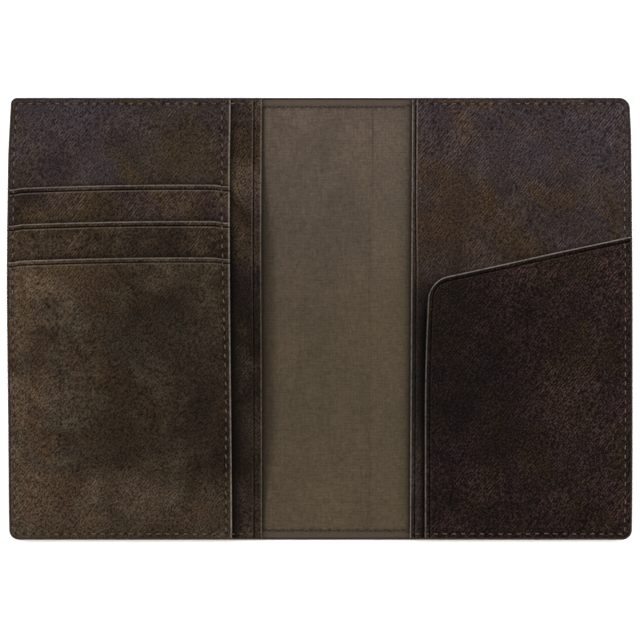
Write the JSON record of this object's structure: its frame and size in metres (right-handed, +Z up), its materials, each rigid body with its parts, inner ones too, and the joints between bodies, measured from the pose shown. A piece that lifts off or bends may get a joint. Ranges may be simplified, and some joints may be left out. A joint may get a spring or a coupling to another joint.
{
  "type": "passport holder wallet",
  "caption": "Folding leather passport holder with stepped card slots on one cover, a slanted pocket on the other and a cloth-lined spine.",
  "frame": {"origin": "centre of the open wallet's outline, on the surface that it lies on", "axes": "+X across the open wallet towards the cover with the slanted pocket, +Y up the page along the fold, +Z up out of the pockets"},
  "size_m": [0.199, 0.141, 0.0062],
  "materials": {
    "brown_leather": "mottled brown, fine diagonal grain, soft sheen",
    "grey_board": "matt uncoated paperboard",
    "taupe_cloth": "plain weave, matt",
    "edge_paint": "smooth dark edge coat",
    "brown_thread": "twisted sewing thread"
  },
  "bodies": {
    "right_cover": {"outer_cover_right": "brown_leather", "stiffener_board_right": "grey_board", "lining_right": "taupe_cloth", "passport_flap_backing_right": "taupe_cloth", "passport_flap_right": "brown_leather", "slanted_pocket": "brown_leather", "edge_paint_right": "edge_paint", "seam_thread_right": "brown_thread"},
    "spine": {"outer_cover_spine": "brown_leather", "lining_spine": "taupe_cloth", "edge_paint_spine_top": "edge_paint", "edge_paint_spine_bottom": "edge_paint", "seam_thread_spine_top": "brown_thread", "seam_thread_spine_bottom": "brown_thread"},
    "left_cover": {"outer_cover_left": "brown_leather", "stiffener_board_left": "grey_board", "lining_left": "taupe_cloth", "passport_flap_backing_left": "taupe_cloth", "passport_flap_left": "brown_leather", "card_panel_back": "brown_leather", "card_slot_top": "brown_leather", "card_slot_top_tail": "taupe_cloth", "card_slot_middle": "brown_leather", "card_slot_middle_tail": "taupe_cloth", "card_slot_front": "brown_leather", "edge_paint_left": "edge_paint", "seam_thread_left": "brown_thread", "seam_thread_card_panel": "brown_thread"}
  },
  "joints": [
    {"name": "left_fold", "type": "hinge", "parent": "spine", "child": "left_cover", "pos_m": [-0.00375, 0, 0.0019], "axis": [0, 1, 0], "range_deg": [0, 90]},
    {"name": "right_fold", "type": "hinge", "parent": "spine", "child": "right_cover", "pos_m": [0.00375, 0, 0.0019], "axis": [0, -1, 0], "range_deg": [0, 90]}
  ]
}
